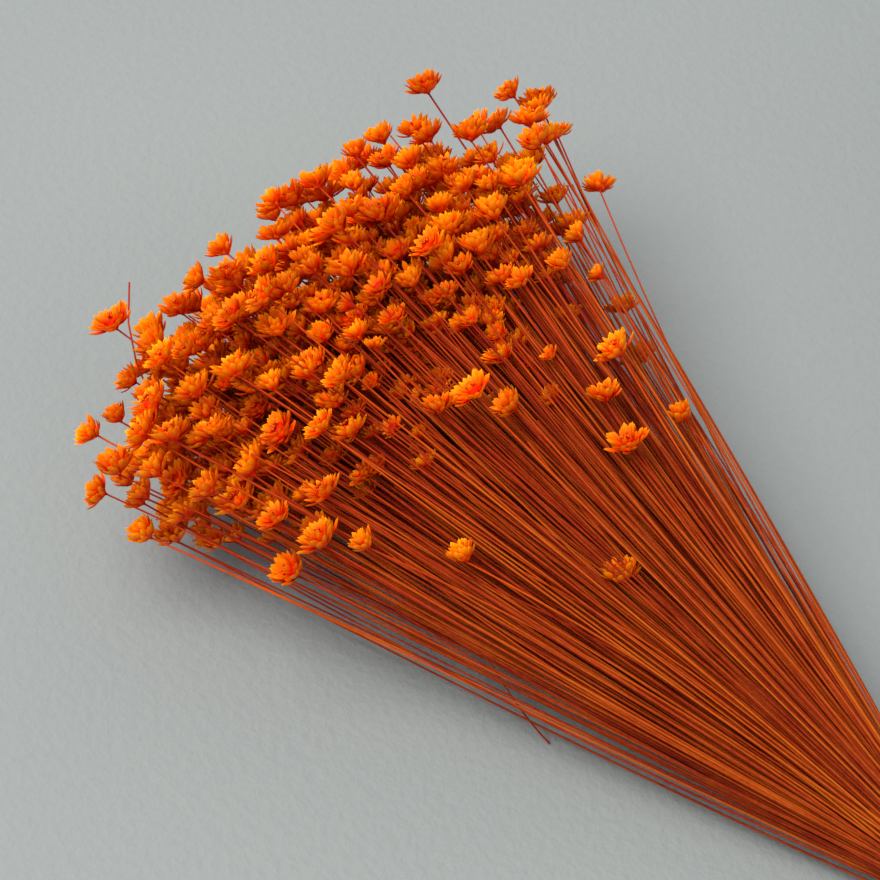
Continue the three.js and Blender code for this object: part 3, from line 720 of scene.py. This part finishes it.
def make_spray(flowers, spray, tree):
    """One spray: its flowers' lines and head points, grown into stems and heads."""
    random = np.random.default_rng(SEED * 100 + spray)
    vertices, edges = [], []
    values = {key: [] for key in ("turn", "is_head", "width", "size", "variant", "tone", "along")}

    def add(at, tone, turn=(0, 0, 0), is_head=0, width=1, size=1, variant=0, along=0):
        vertices.append(at)
        for key, value in zip(values, (turn, is_head, width, size, variant, tone, along)):
            values[key].append(value)

    def add_stem(places, widths, tone):
        for step, (at, width) in enumerate(zip(places, widths)):
            if step:
                edges.append((len(vertices) - 1, len(vertices)))
            add(at, tone, width=width, along=step / (len(widths) - 1))

    def add_head(at, tone, axis, size, first_variant, variants):
        turn = head_turn(axis, random.random() * 2 * math.pi)
        variant = first_variant + int(random.integers(variants))
        add(at, tone, tuple(turn), is_head=1, size=size, variant=variant)

    outermost = list(near_edge(flowers))
    for k in np.nonzero(flowers["spray"] == spray)[0]:
        axis, size = flowers["axis"][k], flowers["size"][k]
        tone = random.random()
        stout = mix(*STEM_STOUTNESS, random.random())
        line, widths = stem_line(flowers, k, random)
        add_stem(line, [width * stout for width in widths], tone)
        for shares, depths in INNER_STEMS:
            # painted shade: the inner stems and their small heads take a lower tone than the flower's own
            shaded_inner_tone = random.random() * INNER_SHADED_TONE
            inner = inner_stem(line, shares, depths, random)
            add_stem(inner, [width * INNER_STEM_WIDTH for width in widths], shaded_inner_tone)
            if not flowers["stray"][k]:
                small = mix(*INNER_HEAD_SIZES, random.random()) * size
                facing = axis + random.normal(0, INNER_HEAD_TILT, 3)
                facing = facing / np.linalg.norm(facing)
                add_head(inner[-1], shaded_inner_tone, facing, small, HEAD_VARIANTS, INNER_HEAD_VARIANTS)
        if k in outermost:
            add_stem(loose_stem(line, LOOSE_STEM_BOWS[outermost.index(k)]), widths, tone)
        add_head(line[-1], tone, axis, size, 0, HEAD_VARIANTS)
    if spray == ODD_STEM_SPRAY:
        for corners in (BENT_STEM, BROKEN_STEM):
            add_stem(curved_stem(corners), [ODD_STEM_WIDTH] * ODD_STEM_SECTIONS, ODD_STEM_TONE)
    drawn = new_object("lines", vertices, edges, **values)
    return grown(drawn, tree, f"glixia_spray_{spray + 1:02d}")


# Finishes. Streaks and patches are counted to a metre, and bumps are given in millimetres.
PATCHES = 45.0  # of dye, on all parts
TONE_SHARE = 0.55  # of a flower's own tone in how bright it is; a lower tone on the parts inside the fan is painted shade
DYE_CONTRAST = 3.0  # for an amount of 1
DYE_RED_POWER, DYE_GREEN_POWER = 0.7, 1.6  # over 1, a colour follows the brightness more than blue does
VEIN_TURNS = 14.0  # in radians, from a bract's middle to its side
TABLE_GRAIN, TABLE_PATCHES = 300.0, 3.0
TABLE_GRAIN_SHARE = 0.25  # in its colour; the rest is its broad patches


def dye_and_shade_group():
    """How unevenly dye takes: patches and streaks that darken or lighten a colour, and a part's own tone,
    which inside the fan is held low as painted shade.
    """
    g = Tree("uneven_dye_and_shade", "ShaderNodeTree")
    colour = g.input("Color", "Color", (0.8, 0.3, 0.05, 1))
    tone = g.input("Tone", "Float", 0.5)
    amount = g.input("Amount", "Float", 0.3)
    fine = g.input("Streaks per Metre", "Vector", (60, 1500, 1500))
    place = g.add("ShaderNodeTexCoord", output="Object")
    stretched = g.add("ShaderNodeVectorMath", {0: place, 1: fine}, operation="MULTIPLY")
    streaks = g.add("ShaderNodeTexNoise", {"Vector": stretched, "Scale": 1.0, "Detail": 3.0})
    patches = g.add("ShaderNodeTexNoise", {"Vector": place, "Scale": PATCHES, "Detail": 2.0})
    level = g.math("ADD", g.math("MULTIPLY", streaks, 0.5), g.math("MULTIPLY", patches, 0.5))
    own = g.math("MULTIPLY", g.math("SUBTRACT", tone, 0.5), TONE_SHARE)
    level = g.math("ADD", g.math("SUBTRACT", level, 0.5), own)
    gain = g.math("ADD", 1.0, g.math("MULTIPLY", level, g.math("MULTIPLY", amount, DYE_CONTRAST)))
    split = g.nodes.new("ShaderNodeSeparateColor")
    g.links.new(colour, split.inputs[0])
    red = g.math("MULTIPLY", split.outputs[0], g.math("POWER", gain, DYE_RED_POWER))
    green = g.math("MULTIPLY", split.outputs[1], g.math("POWER", gain, DYE_GREEN_POWER))
    blue = g.math("MULTIPLY", split.outputs[2], gain)
    g.output("Color", "Color", g.add("ShaderNodeCombineColor", {0: red, 1: green, 2: blue}))
    g.output("Height", "Float", streaks)
    return g.tree


class Finish:
    """A material in the making."""

    def __init__(self, name, roughness):
        self.material = bpy.data.materials.new(name)
        self.material.use_nodes = True
        self.nodes, self.links = self.material.node_tree.nodes, self.material.node_tree.links
        self.shader = self.nodes["Principled BSDF"]
        self.shader.inputs["Roughness"].default_value = roughness

    add = Tree.add
    feed = Tree.feed
    math = Tree.math

    def value(self, name):
        return self.add("ShaderNodeAttribute", output="Fac", attribute_name=name)

    def ramp(self, factor, stops):
        node = self.nodes.new("ShaderNodeValToRGB")
        self.links.new(factor, node.inputs[0])
        elements = node.color_ramp.elements
        while len(elements) < len(stops):
            elements.new(0.5)
        for element, (at, colour) in zip(elements, stops):
            element.position, element.color = at, srgb(*colour)
        return node.outputs[0]

    def group(self, tree, **values):
        node = self.nodes.new("ShaderNodeGroup")
        node.node_tree = tree
        for key, value in values.items():
            self.feed(node.inputs[key.replace("_", " ")], value)
        return node

    def bump(self, height, strength, distance):
        inputs = {"Height": height, "Strength": strength, "Distance": distance * MM}
        self.links.new(self.add("ShaderNodeBump", inputs), self.shader.inputs["Normal"])

    def colour(self, source):
        self.links.new(source, self.shader.inputs["Base Color"])


def dye_and_shade_finish(dye, name, roughness, colours, amount, streaks, bump, gloss, veins=0.0):
    """A dyed part of the plant, coloured from its root to its tip, with painted shade in it: the darker
    root end of bracts and florets, and the lower tone of parts inside the fan.
    """
    f = Finish(name, roughness)
    base = f.ramp(f.value("along"), colours)
    dyed = f.group(dye, Color=base, Tone=f.value("tone"), Amount=amount, Streaks_per_Metre=streaks)
    f.colour(dyed.outputs["Color"])
    height = dyed.outputs["Height"]
    if veins:
        waves = f.math("SINE", f.math("MULTIPLY", f.value("across"), VEIN_TURNS))
        height = f.math("ADD", f.math("MULTIPLY", waves, veins), height)
    f.bump(height, *bump)
    f.shader.inputs["Specular IOR Level"].default_value = gloss
    return f.material


def stem_finish(dye):
    return dye_and_shade_finish(
        dye, "dyed_stem", roughness=0.55, amount=0.62, streaks=(40, 1700, 1700), bump=(0.25, 0.1),
        gloss=0.1, colours=[
            (0.0, (156, 64, 18)), (0.3, (158, 59, 8)), (0.8, (162, 56, 4)), (1.0, (166, 42, 0)),
        ],
    )


def bract_finish(dye):
    return dye_and_shade_finish(
        dye, "papery_bract", roughness=0.6, amount=0.26, streaks=(500, 500, 500), bump=(0.6, 0.15),
        gloss=0.08, veins=0.3, colours=[
            # darkest and reddest at the root: partly the dye's own colour, partly painted shade where the
            # bracts crowd in the cup
            (0.0, (188, 14, 0)), (0.35, (238, 60, 0)), (0.6, (255, 100, 0)), (0.82, (255, 131, 2)),
            (1.0, (255, 160, 8)),
        ],
    )


def centre_finish(dye):
    return dye_and_shade_finish(
        dye, "flower_centre", roughness=0.75, amount=0.3, streaks=(1500, 1500, 1500), bump=(0.4, 0.1),
        # darkest at a floret's lower point, down in the head, and lightest at its top: partly its own
        # colour, partly painted shade
        gloss=0.05, colours=[(0.0, (150, 34, 0)), (0.5, (206, 66, 2)), (1.0, (236, 104, 10))],
    )


def rubber_finish(dye):
    f = Finish("tan_rubber", 0.5)
    base = srgb(199, 154, 98)
    dyed = f.group(dye, Color=base, Tone=0.5, Amount=0.16, Streaks_per_Metre=(900, 220, 220))
    f.colour(dyed.outputs["Color"])
    f.bump(dyed.outputs["Height"], 0.35, 0.2)
    return f.material


def table_finish():
    f = Finish("pale_plaster", 0.85)
    place = f.add("ShaderNodeTexCoord", output="Object")
    grain_look = {"Vector": place, "Scale": TABLE_GRAIN, "Detail": 4.0, "Roughness": 0.55}
    grain = f.add("ShaderNodeTexNoise", grain_look)
    broad = f.add("ShaderNodeTexNoise", {"Vector": place, "Scale": TABLE_PATCHES, "Detail": 2.0})
    grain_part = f.math("MULTIPLY", grain, TABLE_GRAIN_SHARE)
    level = f.math("ADD", grain_part, f.math("MULTIPLY", broad, 1 - TABLE_GRAIN_SHARE))
    f.colour(f.ramp(level, [(0.3, (131, 135, 134)), (0.7, (140, 144, 142))]))
    f.bump(grain, 0.6, 1.0)
    return f.material


# The band round the stems, in millimetres.
BAND_WIDTH = 3.8
BAND_SLACK = 0.1  # between two layers of its strand
BAND_STEPS = 36  # sections in a turn
BAND_SOFTNESS = 0.8  # radius of its edges
BAND_EDGE_STEPS = 3
BAND_SHORTFALL = 0.02  # of a turn, missing at its end
BAND_TUCK = 0.7 / 3  # of a turn, over which each end slips under
BAND_TUCK_DEPTH = 0.9
ABOVE_TABLE = (-1.0, -1.0, 0.0)  # lowest corner of the room that it may fill, in metres


def make_band(finish):
    """A flat elastic strand, wound round the stems with both ends tucked under."""
    t = Tree("wound_band")
    drawn = t.input("Geometry", "Geometry")
    wide = t.input("Width", "Float", BAND_WIDTH * MM)
    thick = t.input("Thickness", "Float", (BAND_THICKNESS - BAND_SLACK) * MM)
    curve = t.add("GeometryNodeMeshToCurve", {0: drawn})
    curve = t.add("GeometryNodeSetCurveNormal", {"Curve": curve}, mode="Z_UP")
    profile = t.add("GeometryNodeCurvePrimitiveQuadrilateral", {"Width": thick, "Height": wide})
    rounding = {"Curve": profile, "Radius": BAND_SOFTNESS * MM, "Count": BAND_EDGE_STEPS}
    profile = t.add("GeometryNodeFilletCurve", rounding, mode="POLY")
    tube = t.add("GeometryNodeCurveToMesh", {"Curve": curve, "Profile Curve": profile, "Fill Caps": True})
    lying = t.add("GeometryNodeTransform", {"Geometry": tube, "Rotation": (0, math.pi / 2, 0)})
    lying = t.add("GeometryNodeTransform", {"Geometry": lying, "Translation": (0, 0, AXIS_HEIGHT * MM)})
    place = t.add("GeometryNodeInputPosition")
    held = t.add("ShaderNodeVectorMath", {0: place, 1: ABOVE_TABLE}, operation="MAXIMUM")
    lying = t.add("GeometryNodeSetPosition", {"Geometry": lying, "Position": held})
    lying = t.add("GeometryNodeSetShadeSmooth", {0: lying})
    lying = t.add("GeometryNodeSetMaterial", {0: lying, "Material": finish})
    t.output("Geometry", "Geometry", lying)
    turns = BAND_TURNS - BAND_SHORTFALL
    count = int(BAND_STEPS * turns)
    places = []
    for step in range(count + 1):
        s = step / count
        angle = 2 * math.pi * turns * s + math.pi / 2
        tucked = max(0, 1 - min(s, 1 - s) * turns / BAND_TUCK)
        radius = BUNDLE_RADIUS + FIT_GAP + BAND_THICKNESS / 2 - BAND_TUCK_DEPTH * tucked
        along = (s - 0.5) * (BAND_TURNS - 1) * BAND_PITCH
        places.append((radius * math.cos(angle), radius * math.sin(angle), along))
    strand = new_object("strand", places, [(k, k + 1) for k in range(count)])
    return grown(strand, t.tree, "wound_rubber_band")


# The view of the photograph, in millimetres and degrees.
VIEW_AZIMUTH, VIEW_ELEVATION = 44.6, 55.4
VIEW_DISTANCE = 790.0
VIEW_SCALE = 3.12  # pixels to a millimetre, at the target
VIEW_TARGET = (-199.4, -6.2, 40.0)
IMAGE_WIDTH = 880
SENSOR = 36.0
NEAREST_SEEN = 10.0  # from the camera
TABLE_HALF_WIDTH = 3000.0
# The light: a soft square lamp, in metres and watts, and the room's own.
LAMP_PLACE, LAMP_TARGET = (-0.6, -0.55, 1.6), (-0.16, 0, 0.03)
LAMP_SIZE = 1.2
LAMP_POWER = 37
LAMP_COLOUR = (1.0, 0.985, 0.96)
ROOM_COLOUR = (0.93, 0.97, 1.0, 1)
ROOM_STRENGTH = 0.75


def add_camera():
    data = bpy.data.cameras.new("camera")
    camera = bpy.data.objects.new("camera", data)
    bpy.context.scene.collection.objects.link(camera)
    azimuth, elevation = math.radians(VIEW_AZIMUTH), math.radians(VIEW_ELEVATION)
    back = Vector((
        math.sin(azimuth) * math.cos(elevation),
        -math.cos(azimuth) * math.cos(elevation),
        math.sin(elevation),
    ))
    camera.location = (Vector(VIEW_TARGET) + back * VIEW_DISTANCE) * MM
    camera.rotation_euler = back.to_track_quat("Z", "Y").to_euler()
    data.sensor_width = SENSOR
    data.lens = VIEW_SCALE * VIEW_DISTANCE * SENSOR / IMAGE_WIDTH
    data.clip_start = NEAREST_SEEN * MM
    bpy.context.scene.camera = camera


def add_lamp():
    data = bpy.data.lights.new("skylight", "AREA")
    data.size, data.energy, data.color = LAMP_SIZE, LAMP_POWER, LAMP_COLOUR
    lamp = bpy.data.objects.new("skylight", data)
    lamp.location = LAMP_PLACE
    back = Vector(LAMP_PLACE) - Vector(LAMP_TARGET)
    lamp.rotation_euler = back.to_track_quat("Z", "Y").to_euler()
    bpy.context.scene.collection.objects.link(lamp)


def add_studio():
    far = TABLE_HALF_WIDTH
    corners = [(-far, -far, 0), (far, -far, 0), (far, far, 0), (-far, far, 0)]
    table = new_object("table", corners, faces=[(0, 1, 2, 3)])
    table.data.materials.append(table_finish())
    add_lamp()
    world = bpy.data.worlds.new("soft_room")
    world.use_nodes = True
    background = world.node_tree.nodes["Background"]
    background.inputs["Color"].default_value = ROOM_COLOUR
    background.inputs["Strength"].default_value = ROOM_STRENGTH
    bpy.context.scene.world = world
    bpy.context.scene.view_settings.view_transform = "Standard"


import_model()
cad_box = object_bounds()
add_camera()
dye = dye_and_shade_group()
stem_material = stem_finish(dye)
heads, shapes = head_variants(bract_finish(dye), centre_finish(dye))
flowers = planned_flowers()
make_room(flowers)
low, high = (Vector(corner) for corner in cad_box)
low.z += TABLE_SKIN * MM
tree = spray_tree(heads, stem_material, (low, high))
for spray in range(SPRAY_COUNT):
    piece = make_spray(flowers, spray, tree)
    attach(piece, "root")
    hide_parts(f"spray_{spray + 1:02d}")
band = make_band(rubber_finish(dye))
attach(band, "root")
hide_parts("rubber_band")
for shape in shapes + list(heads.objects):
    bpy.data.objects.remove(shape)
bpy.data.collections.remove(heads)
add_studio()
